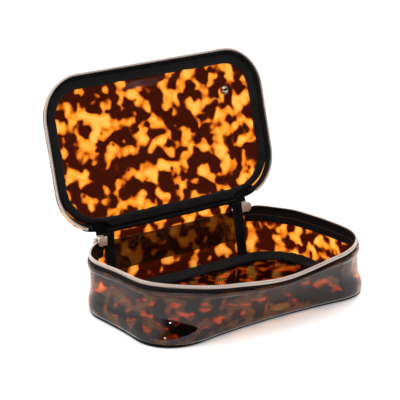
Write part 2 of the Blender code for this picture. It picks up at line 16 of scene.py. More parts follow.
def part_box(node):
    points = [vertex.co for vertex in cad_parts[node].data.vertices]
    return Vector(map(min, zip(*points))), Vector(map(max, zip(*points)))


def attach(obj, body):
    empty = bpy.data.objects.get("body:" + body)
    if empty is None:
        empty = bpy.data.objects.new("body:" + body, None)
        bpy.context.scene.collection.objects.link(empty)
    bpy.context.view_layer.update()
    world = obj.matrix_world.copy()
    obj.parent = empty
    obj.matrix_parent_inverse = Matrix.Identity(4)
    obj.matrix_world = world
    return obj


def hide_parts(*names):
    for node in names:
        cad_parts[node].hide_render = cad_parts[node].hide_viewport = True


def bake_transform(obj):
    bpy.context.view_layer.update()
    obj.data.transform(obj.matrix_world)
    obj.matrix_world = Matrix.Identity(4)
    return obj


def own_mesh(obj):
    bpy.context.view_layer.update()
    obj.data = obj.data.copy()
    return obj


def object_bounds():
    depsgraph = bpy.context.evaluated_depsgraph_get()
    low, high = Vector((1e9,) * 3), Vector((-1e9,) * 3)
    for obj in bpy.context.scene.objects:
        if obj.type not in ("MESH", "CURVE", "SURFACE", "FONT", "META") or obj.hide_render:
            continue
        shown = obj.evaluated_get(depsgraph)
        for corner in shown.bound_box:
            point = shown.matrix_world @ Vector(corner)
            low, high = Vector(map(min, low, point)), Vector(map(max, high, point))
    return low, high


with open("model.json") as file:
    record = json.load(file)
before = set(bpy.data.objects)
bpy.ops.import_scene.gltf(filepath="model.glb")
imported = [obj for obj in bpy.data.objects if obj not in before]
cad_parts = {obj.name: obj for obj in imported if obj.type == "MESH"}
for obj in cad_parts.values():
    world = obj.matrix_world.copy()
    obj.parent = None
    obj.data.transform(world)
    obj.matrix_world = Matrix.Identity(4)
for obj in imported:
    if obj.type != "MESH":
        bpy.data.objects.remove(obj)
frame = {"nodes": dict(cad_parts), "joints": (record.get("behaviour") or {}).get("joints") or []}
cad_low, cad_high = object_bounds()
scene = bpy.context.scene

# ---------------- camera
# A long lens, a little above the open case and to the left of its front.
view_turn = math.radians(37.44)
view_rise = math.radians(17.70)
view_distance = 1.37535
view_aim = Vector((-0.02726, 0.0, 0.08769))
toward_camera = Vector((
    -math.sin(view_turn) * math.cos(view_rise),
    -math.cos(view_turn) * math.cos(view_rise),
    math.sin(view_rise),
))
camera_data = bpy.data.cameras.new("camera")
camera_data.sensor_width = 36.0
camera_data.lens = 162.0
camera_data.clip_start = 0.05
camera = bpy.data.objects.new("camera", camera_data)
camera.location = view_aim + toward_camera * view_distance
camera.rotation_euler = toward_camera.to_track_quat("Z", "Y").to_euler()
scene.collection.objects.link(camera)
scene.camera = camera

# ---------------- studio
# A pale tabletop in a white tent of light that is open, and so dark, on the camera's side. A
# large soft lamp overhead and a narrow one at the side draw the bright lines on the film.
scene.view_settings.view_transform = "Standard"
scene.cycles.transparent_max_bounces = 32
tent = bpy.data.worlds.new("light_tent")
tent.use_nodes = True
tent_white, tent_dark = 1.15, 0.05
tent_back = {"From Min": -0.45, "From Max": -0.05}
tent_top = {"From Min": 0.55, "From Max": 0.80}


def node_maker(tree):
    """A function that adds a node of a kind to this tree, with its sockets set or linked."""

    def add(kind, sockets=None, **settings):
        node = tree.nodes.new("ShaderNode" + kind)
        for name, value in settings.items():
            setattr(node, name, value)
        for name, value in (sockets or {}).items():
            if isinstance(value, bpy.types.NodeSocket):
                tree.links.new(value, node.inputs[name])
            else:
                node.inputs[name].default_value = value
        return node

    return add


tent_add = node_maker(tent.node_tree)
tent_way = tent_add("TexCoord").outputs["Generated"]
tent_parts = tent_add("SeparateXYZ", {0: tent_way}).outputs
tent_shares = [
    tent_add("MapRange", {"Value": tent_parts[axis], **band},
             interpolation_type="SMOOTHSTEP").outputs["Result"]
    for axis, band in (("Y", tent_back), ("Z", tent_top))
]
tent_open = tent_add("Math", {0: tent_shares[0], 1: tent_shares[1]}, operation="MAXIMUM")
tent_level = tent_add("MapRange", {
    "Value": tent_open.outputs[0], "To Min": tent_dark, "To Max": tent_white,
})
tent_light = tent.node_tree.nodes["Background"]
tent_light.inputs["Color"].default_value = (1.0, 1.0, 1.0, 1.0)
tent.node_tree.links.new(tent_level.outputs["Result"], tent_light.inputs["Strength"])
scene.world = tent

table_size = 8.0
table_drop = 0.0002
bm = bmesh.new()
bmesh.ops.create_grid(bm, x_segments=1, y_segments=1, size=table_size / 2)
table_mesh = bpy.data.meshes.new("tabletop")
bm.to_mesh(table_mesh)
bm.free()
tabletop = bpy.data.objects.new("tabletop", table_mesh)
tabletop.location.z = cad_low.z - table_drop
scene.collection.objects.link(tabletop)
table_paint = bpy.data.materials.new("table_paint")
table_paint.use_nodes = True
table_shader = table_paint.node_tree.nodes["Principled BSDF"]
table_shader.inputs["Base Color"].default_value = (0.80, 0.80, 0.80, 1.0)
table_shader.inputs["Emission Color"].default_value = (1.0, 1.0, 1.0, 1.0)
table_shader.inputs["Emission Strength"].default_value = 0.28
table_shader.inputs["Roughness"].default_value = 0.7
table_shader.inputs["Specular IOR Level"].default_value = 0.2
table_mesh.materials.append(table_paint)


def soft_lamp(name, place, aim, width, height, power):
    lamp_data = bpy.data.lights.new(name, "AREA")
    lamp_data.shape = "RECTANGLE"
    lamp_data.size = width
    lamp_data.size_y = height
    lamp_data.energy = power
    lamp = bpy.data.objects.new(name, lamp_data)
    lamp.location = place
    lamp.rotation_euler = (Vector(place) - Vector(aim)).to_track_quat("Z", "Y").to_euler()
    scene.collection.objects.link(lamp)


soft_lamp("overhead_lamp", (-0.3, -0.3, 1.7), (0.0, 0.0, 0.05), 1.2, 1.2, 16.0)
soft_lamp("side_lamp", (1.3, 0.6, 0.9), (0.0, 0.0, 0.05), 0.25, 1.0, 4.0)
soft_lamp("corner_lamp", (-1.30, -0.78, 0.28), (-0.1, -0.05, 0.01), 0.10, 0.10, 1.5)


# ---------------- floor panel
# One sheet of printed vinyl, cut to a rounded oblong whose front edge is drawn in. It lies on
# the table with a few shallow waves. Its print is drawn darker and redder, with more dark
# patches, as painted shade, because little light gets under it.
floor_half_length = 0.105
floor_half_depth = 0.064
floor_corner = 0.038
floor_front_bow = 0.0100
vinyl = 0.0008
gap = 0.0003
corner_steps = 60
side_steps = 36
front_steps = 96
back_steps = 48


def arc(centre_x, centre_y, radius, start, end, steps):
    """Points along an arc, its last one left out."""
    turns = [start + (end - start) * i / steps for i in range(steps)]
    return [(centre_x + radius * math.cos(t), centre_y + radius * math.sin(t)) for t in turns]


def straight(start, end, steps):
    """Points along a straight edge, its last one left out."""
    return [tuple(Vector(start).lerp(Vector(end), i / steps)) for i in range(steps)]


def bowl_outline(half_length, front, back, front_corner, back_corner, bulge):
    """Outline seen from above: back left corner, round the front, back right corner, back edge."""
    quarter = math.pi / 2
    left, right = back_corner - half_length, half_length - back_corner
    rear_y, fore_y = back - back_corner, front_corner - front
    fore_left, fore_right = front_corner - half_length, half_length - front_corner
    points = arc(left, rear_y, back_corner, quarter, 2 * quarter, corner_steps)
    points += straight((-half_length, rear_y), (-half_length, fore_y), side_steps)
    points += arc(fore_left, fore_y, front_corner, 2 * quarter, 3 * quarter, corner_steps)
    points += straight((fore_left, -front), (fore_right, -front), front_steps)
    points += arc(fore_right, fore_y, front_corner, -quarter, 0, corner_steps)
    points += straight((half_length, fore_y), (half_length, rear_y), side_steps)
    points += arc(right, rear_y, back_corner, 0, quarter, corner_steps)
    points += straight((right, back), (left, back), back_steps)
    middle, reach = (back - front) / 2, (back + front) / 2
    shaped = []
    for x, y in points:
        forward = min((y - middle) / reach, 0.0)
        swell = bulge * (1 - (x / half_length) ** 2) * forward * abs(forward)
        shaped.append(Vector((x, y + swell)))
    return shaped


def outward(outline):
    """Unit normals of a closed anticlockwise outline."""
    normals = []
    for i in range(len(outline)):
        along = (outline[(i + 1) % len(outline)] - outline[i - 1]).normalized()
        normals.append(Vector((along.y, -along.x)))
    return normals


floor_outline = bowl_outline(
    floor_half_length, floor_half_depth, floor_half_depth, floor_corner, floor_corner,
    -floor_front_bow,
)
foot_kick = 0.0035
foot_kick_place = Vector((-0.100, -0.044))
foot_kick_spread = 0.026


def kick(point):
    """How far the soft front left corner is pushed out at its foot."""
    distance = (point - foot_kick_place).length / foot_kick_spread
    return foot_kick * math.exp(-distance * distance)


straight_foot = floor_outline
floor_outline = [
    point + normal * kick(point) for point, normal in zip(straight_foot, outward(straight_foot))
]
floor_normals = outward(floor_outline)
stations = len(floor_outline)
piping_radius = 0.0012
floor_inset = 2 * piping_radius + gap + vinyl / 2


def laid_grid(columns, rows, spot, size=(1.0, 1.0)):
    """A grid laid so that its point at (column, row) is at spot(column, row). Its UV map runs
    over size, in metres, so that a weave keeps its scale. Points that meet are merged."""
    bm = bmesh.new()
    bmesh.ops.create_grid(bm, x_segments=columns, y_segments=rows, size=0.5)
    spread = bm.loops.layers.uv.new("spread")
    for face in bm.faces:
        for corner in face.loops:
            across, up = corner.vert.co.x + 0.5, corner.vert.co.y + 0.5
            corner[spread].uv = (across * size[0], up * size[1])
    for vert in bm.verts:
        column = round((vert.co.x + 0.5) * columns)
        row = round((vert.co.y + 0.5) * rows)
        vert.co = spot(column, row)
    bmesh.ops.remove_doubles(bm, verts=bm.verts, dist=2e-6)
    bmesh.ops.dissolve_degenerate(bm, dist=1e-6, edges=bm.edges)
    return bm


def make_piece(name, bm, material, body, thickness=0.0, closed=False):
    """Makes the object, gives a sheet its thickness and lets it ride on its body, if any."""
    if closed:
        bmesh.ops.recalc_face_normals(bm, faces=bm.faces)
    mesh = bpy.data.meshes.new(name)
    bm.to_mesh(mesh)
    bm.free()
    mesh.materials.append(material)
    mesh.shade_smooth()
    piece = bpy.data.objects.new(name, mesh)
    scene.collection.objects.link(piece)
    if thickness:
        wall = piece.modifiers.new("thickness", "SOLIDIFY")
        wall.thickness = thickness
        wall.offset = 0.0
    if body:
        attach(piece, body)
    return piece


def bare_material(name):
    """A new material with no nodes yet, and the function that adds nodes to it."""
    material = bpy.data.materials.new(name)
    material.use_nodes = True
    material.node_tree.nodes.clear()
    return material, node_maker(material.node_tree)


def ramp_stops(ramp, stops):
    """Sets a colour ramp's stops from (position, colour) pairs."""
    elements = ramp.color_ramp.elements
    while len(elements) < len(stops):
        elements.new(1.0)
    for element, (position, colour) in zip(elements, stops):
        element.position = position
        element.color = (*colour, 1.0)


# The print, from the dark patches through their orange edges to clear amber, as each face of
# the film tints the light that goes through it.
print_stops = [
    (0.472, (0.200, 0.060, 0.010)),
    (0.488, (0.280, 0.085, 0.016)),
    (0.512, (0.700, 0.300, 0.055)),
    (0.550, (0.900, 0.470, 0.110)),
    (0.610, (0.990, 0.610, 0.190)),
    (0.680, (1.000, 0.690, 0.290)),
]


def glaze(add, film, normal, colour, rough):
    """Finishes a film with a clear gloss, which is strongest where the film is seen edge on."""
    facing = add("LayerWeight", {"Blend": 0.5}).outputs["Facing"]
    steep = add("Math", {0: facing, 1: 5.0}, operation="POWER").outputs[0]
    mirror = add("Math", {0: steep, 1: 0.75, 2: 0.035}, operation="MULTIPLY_ADD").outputs[0]
    gloss = add("BsdfAnisotropic", {"Color": (*colour, 1.0), "Roughness": rough,
                                    "Normal": normal}).outputs[0]
    surface = add("MixShader", {0: mirror, 1: film, 2: gloss}).outputs[0]
    add("OutputMaterial", {"Surface": surface})


def tortoise_vinyl(name, shift, cover=0.0, shade=(1.0, 1.0, 1.0), body_share=0.06):
    """Clear glossy film with a soft-edged print of dark patches and small dots on amber. Cover
    moves the print towards its dark patches; shade darkens and tints the film as a whole, as
    painted shade where little light reaches it."""
    material, add = bare_material(name)
    place = add("TexCoord").outputs["Object"]
    moved = add("Mapping", {"Vector": place, "Location": shift}).outputs["Vector"]
    patches = add("TexNoise", {
        "Vector": moved, "Scale": 92.0, "Detail": 1.2, "Roughness": 0.40, "Distortion": 0.20,
    }).outputs["Fac"]
    cells = add("TexVoronoi", {"Vector": moved, "Scale": 115.0})
    dot = add("MapRange", {
        "Value": cells.outputs["Distance"], "From Min": 0.16, "From Max": 0.34,
        "To Min": 1.0, "To Max": 0.0,
    }).outputs["Result"]
    picked = add("SeparateColor", {"Color": cells.outputs["Color"]}).outputs["Red"]
    chosen = add("Math", {0: picked, 1: 0.66}, operation="GREATER_THAN").outputs[0]
    dots = add("Math", {0: dot, 1: chosen}, operation="MULTIPLY").outputs[0]
    level = add("Math", {0: dots, 1: -0.11, 2: patches}, operation="MULTIPLY_ADD").outputs[0]
    covered = add("Math", {0: level, 1: cover}, operation="SUBTRACT").outputs[0]
    ramp = add("ValToRGB", {"Fac": covered})
    ramp_stops(ramp, [(stop, tuple(s * c for s, c in zip(shade, colour)))
                      for stop, colour in print_stops])
    tint = ramp.outputs["Color"]
    ripple = add("TexNoise", {"Vector": place, "Scale": 34.0, "Detail": 2.0}).outputs["Fac"]
    bump = add("Bump", {"Height": ripple, "Strength": 0.25, "Distance": 0.0008})
    normal = bump.outputs["Normal"]
    clear = add("BsdfTransparent", {"Color": tint}).outputs[0]
    deep = add("Mix", {"A": tint, "B": tint, "Factor": 1.0}, data_type="RGBA",
               blend_type="MULTIPLY")
    body = add("BsdfPrincipled", {"Base Color": deep.outputs["Result"], "Roughness": 0.25,
                                  "Normal": normal})
    film = add("MixShader", {0: body_share, 1: clear, 2: body.outputs[0]}).outputs[0]
    glaze(add, film, normal, (1.0, 1.0, 1.0), 0.07)
    return material


piping_lift = 0.0002
piping_height = piping_radius + piping_lift
floor_rings = 16
floor_wave = 0.0007
floor_wave_scale = 24.0


def floor_spot(column, row):
    edge = floor_outline[column % stations] - floor_normals[column % stations] * floor_inset
    share = row / floor_rings
    x, y = edge * share
    lift = 0.5 + 0.5 * noise.noise(Vector((x, y, 0.3)) * floor_wave_scale)
    return (x, y, vinyl / 2 + floor_wave * lift * (1 - share**4))


# The floor's film is the vinyl drawn darker and redder, with more dark patches: painted shade.
floor = make_piece("floor_sheet", laid_grid(stations, floor_rings, floor_spot),
                   tortoise_vinyl("floor_vinyl", (0.4, 0.1, 0.0), cover=0.026,
                                  shade=(0.78, 0.59, 0.45), body_share=0.01),
                   "base", thickness=vinyl)
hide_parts("floor_panel")

# ---------------- side wall
# One long strip of the same film, from one back corner round the front to the other. It stands
# on the floor panel's edge, flares a little at its foot and sags where nothing holds it.
rim_half_length = 0.1028
rim_front = 0.067
rim_back = 0.0712
rim_front_corner = 0.050
rim_back_corner = 0.042
rim_front_bulge = 0.0085
rim_height = 0.045
rim_corner_lift = 0.0017
rim_lift_start = 0.0206
rim_lift_blend = 0.0411
rim_front_dip = 0.0065
rim_dip_centre = -0.003
rim_dip_spread = 0.045
rim_rear_dip = 0.0016
rim_rear_centre = 0.0977
rim_rear_spread = 0.0105
wall_flare = 0.0018
wall_flare_share = 0.20
wall_flare_spread = 0.14
wall_waist = 0.0015
foot_kick_height = 0.0130
coil_height = 0.0034
tape_reveal = 0.0026
rim_outline = bowl_outline(
    rim_half_length, rim_front, rim_back, rim_front_corner, rim_back_corner, rim_front_bulge
)
rim_normals = outward(rim_outline)
wall_columns = stations - back_steps
wall_rows = 22
wall_length = 0.468


def smooth_step(value):
    value = min(max(value, 0.0), 1.0)
    return value * value * (3 - 2 * value)


def bell(value):
    return math.exp(-value * value)


def zip_height(station):
    """Height of the teeth: up at the front corners, down at the middle of the front."""
    x, y = rim_outline[station % stations]
    front = smooth_step((-y - rim_lift_start) / rim_lift_blend)
    rear = smooth_step(y / (rim_back / 2))
    dip = rim_front_dip * bell((x - rim_dip_centre) / rim_dip_spread)
    rear_dip = rim_rear_dip * bell((abs(x) - rim_rear_centre) / rim_rear_spread)
    return rim_height + front * (rim_corner_lift - dip) - rear * rear_dip


def wall_point(station, height, offset):
    """A point of the wall's middle surface, or offset outwards from it."""
    i = station % stations
    share = height / zip_height(i)
    base, top = floor_outline[i], rim_outline[i]
    normal = floor_normals[i].lerp(rim_normals[i], min(share, 1.0)).normalized()
    ends = smooth_step((floor_half_depth - base.y) / (floor_corner / 2))
    flare = wall_flare * bell((share - wall_flare_share) / wall_flare_spread)
    waist = wall_waist * math.sin(math.pi * min(share, 1.0))
    kicked = kick(straight_foot[i]) * (bell(height / foot_kick_height) - max(1 - share, 0.0))
    plan = base.lerp(top, share) + normal * (ends * (flare - waist) + kicked + offset)
    return Vector((plan.x, plan.y, height))


wall_bottom = piping_height + piping_radius + gap
wall_drop = coil_height / 2 + gap + tape_reveal
wall_sag = 0.0006
wall_sag_scale = 26.0


def wall_spot(column, row):
    share = row / wall_rows
    top = zip_height(column) - wall_drop
    point = wall_point(column, wall_bottom + (top - wall_bottom) * share, 0.0)
    sag = wall_sag * noise.noise(point * wall_sag_scale) * math.sin(math.pi * share)
    normal = floor_normals[column % stations]
    return point + Vector((normal.x, normal.y, 0.0)) * sag


wall = make_piece("wall_strip", laid_grid(wall_columns, wall_rows, wall_spot),
                  tortoise_vinyl("wall_vinyl", (0.05, 0.23, 0.1), cover=-0.015,
                                 body_share=0.015),
                  "base", thickness=vinyl)
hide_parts("side_wall")

# ---------------- edge piping
# The raw edges of wall and floor are caught in a narrow edging of folded black cloth, which is
# sewn right round the foot of the case.
piping_sides = 10
binding_black = (0.0025, 0.0024, 0.0025)


def black_cloth(name, weave=1400.0, rough=0.85, fuzz=0.02, shine=0.10):
    """Close black weave: crossed threads as bump, a little grey bloom where light grazes it."""
    material, add = bare_material(name)
    place = add("TexCoord").outputs["Object"]
    worn = add("TexNoise", {"Vector": place, "Scale": 90.0, "Detail": 3.0}).outputs["Fac"]
    ramp = add("ValToRGB", {"Fac": worn})
    ramp_stops(ramp, [(0.35, binding_black), (0.75, (0.0075, 0.0070, 0.0072))])
    threads = [
        add("TexWave", {"Vector": place, "Scale": weave / 20, "Distortion": 1.5,
                        "Detail": 1.0}, bands_direction=direction).outputs["Fac"]
        for direction in ("X", "Z")
    ]
    crossed = add("Math", {0: threads[0], 1: threads[1]}, operation="MULTIPLY").outputs[0]
    bump = add("Bump", {"Height": crossed, "Strength": 0.5, "Distance": 0.0002})
    spread = add("MapRange", {"Value": worn, "To Min": rough - 0.1, "To Max": rough + 0.1})
    cloth = add("BsdfPrincipled", {
        "Base Color": ramp.outputs["Color"], "Roughness": spread.outputs["Result"],
        "Normal": bump.outputs["Normal"], "Sheen Weight": fuzz, "Sheen Roughness": 0.4,
        "Specular IOR Level": shine,
    })
    add("OutputMaterial", {"Surface": cloth.outputs[0]})
    return material


def round_turn(step, steps):
    """The angle of one step round a closed section."""
    return 2 * math.pi * (step % steps) / steps


def piping_spot(column, row):
    turn = -round_turn(row, piping_sides)
    height = piping_height + piping_radius * math.sin(turn)
    return wall_point(column, height, piping_radius * (math.cos(turn) - 1))


piping = make_piece("bottom_edging", laid_grid(stations, piping_sides, piping_spot),
                    black_cloth("edging_cloth"), "base", closed=True)
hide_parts("edge_piping")

# ---------------- wall hem and its stitching
# The strip's upper edge is turned down outside against the zip tape, and two rows of red-brown
# thread go through film and tape.
hem_height = 0.0036
hem_thickness = 0.0005
hem_middle = vinyl / 2 + gap + hem_thickness / 2
hem_rows = 4


def hem_spot(column, row):
    drop = hem_height + (gap - hem_height) * row / hem_rows
    return wall_point(column, zip_height(column) - wall_drop - drop, hem_middle)


# The turned edge's film is the vinyl drawn darker: painted shade.
hem = make_piece("turned_edge", laid_grid(wall_columns, hem_rows, hem_spot),
                 tortoise_vinyl("hem_vinyl", (0.2, 0.2, 0.1), shade=(0.6, 0.6, 0.6)), "base",
                 thickness=hem_thickness)
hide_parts("wall_hem")

thread_brown = (0.22, 0.055, 0.02)
stitch_pitch = 0.0026
stitch_length = 0.0019
stitch_radius = 0.00021
stitch_below_edge = 0.0022


def walk(points, pitch):
    """Evenly spaced (place, along) pairs down a line of points."""
    spots = []
    left = pitch / 2
    for a, b in zip(points, points[1:]):
        length = (b - a).length
        while left < length:
            spots.append((a.lerp(b, left / length), (b - a).normalized()))
            left += pitch
        left -= length
    return spots


def stitches(bm, line):
    """One short rounded thread for each stitch along a line."""
    for spot, along in walk(line, stitch_pitch):
        turn = along.to_track_quat("X", "Z").to_matrix().to_4x4()
        slim = Matrix.Diagonal((stitch_length / 2, stitch_radius, stitch_radius, 1.0))
        bmesh.ops.create_icosphere(
            bm, subdivisions=1, radius=1.0, matrix=Matrix.Translation(spot) @ turn @ slim
        )


def thread(name, colour):
    """Twisted sewing thread: a darker band on each turn of the twist, painted shade in its groove.
    """
    material, add = bare_material(name)
    place = add("TexCoord").outputs["Object"]
    twist = add("TexWave", {"Vector": place, "Scale": 900.0}).outputs["Fac"]
    shade = add("ValToRGB", {"Fac": twist})
    ramp_stops(shade, [(0.0, tuple(0.6 * c for c in colour)), (1.0, colour)])
    strand = add("BsdfPrincipled", {"Base Color": shade.outputs["Color"], "Roughness": 0.5})
    add("OutputMaterial", {"Surface": strand.outputs[0]})
    return material


tape = 0.0006
outer_stitch = hem_middle + hem_thickness / 2 + stitch_radius / 2
inner_stitch = -(vinyl / 2 + gap + tape + stitch_radius / 2)
stitch_drop = wall_drop + stitch_below_edge
bm = bmesh.new()
for offset in (outer_stitch, inner_stitch):
    stitches(bm, [
        wall_point(i, zip_height(i) - stitch_drop, offset) for i in range(4, wall_columns - 3)
    ])
wall_thread = make_piece("wall_stitching", bm, thread("brown_thread", thread_brown), "base",
                         closed=True)

# ---------------- floor seam binding
# A wide black binding covers the bottom seam inside. It is cut straight and eased round the
# corners, so it gathers into small pleats there and stands a little proud.
binding_width = 0.0072
binding_height = 0.0053
binding_low = vinyl + gap
binding_profile = [
    (0.00, 0.00), (0.55, 0.00), (1.00, 0.02), (0.97, 0.24), (0.78, 0.42), (0.50, 0.58),
    (0.22, 0.78), (-0.06, 1.02), (-0.16, 0.96), (-0.20, 0.45),
]
pleat_depth = 0.0017
wide_pleats, fine_pleats = 150.0, 420.0
fine_pleat_share = 0.7
binding_reach = 0.02
profile_count = len(binding_profile)


def gather(x, y, seed):
    """Pleats of uneven width across a binding: how far the cloth stands up or falls back."""
    wide = noise.noise(Vector((x * wide_pleats, y * wide_pleats, seed)))
    fine = noise.noise(Vector((x * fine_pleats, y * fine_pleats, seed + 5.0)))
    return wide + fine_pleat_share * fine


def floor_binding_spot(column, row):
    across, up = binding_profile[row % profile_count]
    offset = -floor_inset - across * binding_width
    height = binding_low + up * binding_height
    point = wall_point(column, height, max(min(offset, -vinyl / 2 - gap), -binding_reach))
    plan = rim_outline[column % stations]
    inner = smooth_step((across - 0.1) * 1.6)
    fold = gather(plan.x, plan.y, 1.0) * pleat_depth * (0.35 + inner)
    rise = max(fold, -0.3 * pleat_depth) if up > 0.1 else 0.0
    normal = floor_normals[column % stations]
    return point + Vector((0.0, 0.0, rise)) - (normal * fold * inner).to_3d()


floor_binding = make_piece("floor_seam_binding",
                           laid_grid(stations, profile_count, floor_binding_spot),
                           black_cloth("floor_binding_cloth", rough=0.78, shine=0.16),
                           "base", closed=True)
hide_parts("floor_binding")

# ---------------- back panel
# A plain panel of the same film between the two back corners. It is sewn to the floor's edge
# and leans back a little, up to the hinge.
hinge_pos = next(j for j in frame["joints"] if j["name"] == "lid_hinge")["pos_m"]
hinge_back, hinge_height = hinge_pos[1], hinge_pos[2]
hinge_roll_radius = 0.0011
panel_top = hinge_height - hinge_roll_radius - gap
panel_columns, panel_rows = 60, 16
panel_side = 0.00005
panel_lean = math.atan2(hinge_back - floor_half_depth, hinge_height)


def back_point(x, height, offset):
    """A point of the back panel's middle surface, or offset backwards from it."""
    y = floor_half_depth + (hinge_back - floor_half_depth) * height / hinge_height
    return Vector((x, y + offset * math.cos(panel_lean), height - offset * math.sin(panel_lean)))


def seam_x(height):
    """Where the side wall ends and the back panel begins."""
    base = floor_half_length - floor_corner
    top = rim_half_length - rim_back_corner
    return base + (top - base) * height / rim_height


def panel_spot(column, row):
    height = wall_bottom + (panel_top - wall_bottom) * row / panel_rows
    x = (seam_x(height) - panel_side) * (2 * column / panel_columns - 1)
    return back_point(-x, height, 0.0)


back_panel = make_piece("back_sheet", laid_grid(panel_columns, panel_rows, panel_spot),
                        tortoise_vinyl("back_vinyl", (0.0, 0.3, 0.0)), "base", thickness=vinyl)
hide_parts("back_panel")

# ---------------- back seam bindings
# Two upright bindings of black cloth, folded and sewn over the seams between the side wall and
# the back panel.
post_rows = 44
post_profile = [
    (-1.00, 0.05), (-0.96, 0.40), (-0.70, 0.72), (-0.30, 0.95), (0.10, 1.00), (0.45, 0.90),
    (0.76, 0.68), (0.97, 0.38), (1.00, 0.05), (0.50, 0.00), (-0.50, 0.00),
]
post_count = len(post_profile)
post_bottom, post_top = 0.0068, 0.0494
post_half_width = 0.0048
post_thickness = 0.0022
post_crease = 0.0005
post_foot = floor_half_length - 0.0396
post_head = rim_half_length - 0.0382
post_stand_off = vinyl / 2 + gap + 0.0013


def capped(bm):
    """Closes the open ends of a tube."""
    bmesh.ops.holes_fill(bm, edges=bm.edges)
    return bm


for side, label in ((-1, "left"), (1, "right")):
    def post_spot(column, row):
        height = post_bottom + (post_top - post_bottom) * column / post_rows
        across, up = post_profile[row % post_count]
        middle = side * (post_foot + (post_head - post_foot) * height / rim_height)
        crease = post_crease * gather(height * 0.7, across * 0.006, 3.0 + side) * up
        depth = -post_stand_off - up * post_thickness - crease
        return back_point(middle + across * post_half_width, height, depth)

    post = make_piece(f"back_post_{label}", capped(laid_grid(post_rows, post_count, post_spot)),
                      black_cloth(f"post_cloth_{label}"), "base", closed=True)
    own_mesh(post)
    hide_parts(f"back_binding_{label}")

# ---------------- back pocket
# A strip of thin smoky film, sewn across the back panel along its foot and sides as a pocket. It
# is slack, so it bows forward and creases.
pocket_columns, pocket_rows = 110, 30
pocket_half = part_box("back_pocket")[1].x
pocket_bottom, pocket_top = 0.0188, 0.0433
pocket_slack = 0.0022
pocket_crease, pocket_fine_crease = 0.0009, 0.0004


def pocket_spot(column, row):
    across = 1 - 2 * column / pocket_columns
    up = row / pocket_rows
    bow = pocket_slack * (1 - across * across) * smooth_step(up * 1.2)
    crease = noise.noise(Vector((across * 9.0 + up * 3.0, up * 2.0 - across * 3.0, 2.0)))
    fine = noise.noise(Vector((across * 22.0 - up * 6.0, up * 4.0, 7.0)))
    fold = (pocket_crease * crease + pocket_fine_crease * fine) * (1 - across**4)
    height = pocket_bottom + (pocket_top - pocket_bottom) * up
    offset = -(vinyl / 2 + gap + tape / 2) - bow - abs(fold * (0.4 + 0.6 * up))
    return back_point(pocket_half * across, height, offset)


def smoky_film(name):
    """Thin creased film, clear but tinted a smoky brown."""
    material, add = bare_material(name)
    place = add("TexCoord").outputs["Object"]
    cloud = add("TexNoise", {"Vector": place, "Scale": 20.0, "Detail": 2.0}).outputs["Fac"]
    ramp = add("ValToRGB", {"Fac": cloud})
    ramp_stops(ramp, [(0.3, (0.33, 0.265, 0.18)), (0.7, (0.41, 0.345, 0.245))])
    tint = ramp.outputs["Color"]
    creases = add("TexNoise", {"Vector": place, "Scale": 120.0, "Detail": 3.0,
                               "Distortion": 1.0}).outputs["Fac"]
    normal = add("Bump", {"Height": creases, "Strength": 0.35, "Distance": 0.0006}).outputs[0]
    clear = add("BsdfTransparent", {"Color": tint}).outputs[0]
    body = add("BsdfPrincipled", {"Base Color": (0.02, 0.017, 0.010, 1.0), "Roughness": 0.2,
                                  "Normal": normal}).outputs[0]
    film = add("MixShader", {0: 0.12, 1: clear, 2: body}).outputs[0]
    glaze(add, film, normal, (1.0, 0.95, 0.8), 0.09)
    return material


pocket = make_piece("pocket_strip", laid_grid(pocket_columns, pocket_rows, pocket_spot),
                    smoky_film("pocket_film"), "base", thickness=tape / 2)
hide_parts("back_pocket")

# ---------------- base zip tape
# Woven black tape, sewn to the inside of the wall. Its edge stands above the wall, behind the
# teeth, and its ends turn down below the sliders.
zip_tape_depth = 0.0125
tape_offset = -(vinyl / 2 + gap + tape / 2)
tape_first = round(corner_steps / 7)
tape_columns = wall_columns - 2 * tape_first
tape_rows = 10
tape_edge = [(0.0, 0.0), (0.0012, -0.0010), (0.0028, -0.0015)]
tape_top = coil_height / 2 + gap
slider_height = 0.0455
slider_drop = 0.0046
slider_floor = slider_height - slider_drop


def tape_spot(column, row):
    station = tape_first + column
    low = zip_height(station) - zip_tape_depth
    high = zip_height(station) - tape_top
    clear = smooth_step(min(column, tape_columns - column) / tape_first)
    high += (min(high, slider_floor) - high) * (1 - clear)
    flat_rows = tape_rows - len(tape_edge) + 1
    if row <= flat_rows:
        return wall_point(station, low + (high - low) * row / flat_rows, tape_offset)
    rise, inset = tape_edge[row - flat_rows]
    return wall_point(station, high + rise * clear, tape_offset + inset * clear)


def woven_tape(name):
    """Ribbed tape: fine chevron ribs across it, in the piece's own UV map."""
    material, add = bare_material(name)
    spread = add("TexCoord").outputs["UV"]
    ribs = add("TexWave", {"Vector": spread, "Scale": 420.0, "Distortion": 0.4},
               bands_direction="DIAGONAL").outputs["Fac"]
    fuzz = add("TexNoise", {"Vector": spread, "Scale": 900.0, "Detail": 2.0}).outputs["Fac"]
    height = add("Math", {0: ribs, 1: fuzz}, operation="ADD").outputs[0]
    bump = add("Bump", {"Height": height, "Strength": 0.5, "Distance": 0.00015})
    ramp = add("ValToRGB", {"Fac": fuzz})
    ramp_stops(ramp, [(0.3, (0.003, 0.003, 0.0032)), (0.8, (0.010, 0.009, 0.0092))])
    cloth = add("BsdfPrincipled", {
        "Base Color": ramp.outputs["Color"], "Roughness": 0.8,
        "Normal": bump.outputs["Normal"], "Sheen Weight": 0.04, "Sheen Roughness": 0.4,
        "Specular IOR Level": 0.10,
    })
    add("OutputMaterial", {"Surface": cloth.outputs[0]})
    return material


base_tape = make_piece(
    "base_tape",
    laid_grid(tape_columns, tape_rows, tape_spot, size=(wall_length, zip_tape_depth)),
    woven_tape("base_tape_weave"), "base", thickness=tape,
)
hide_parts("base_zip_tape")

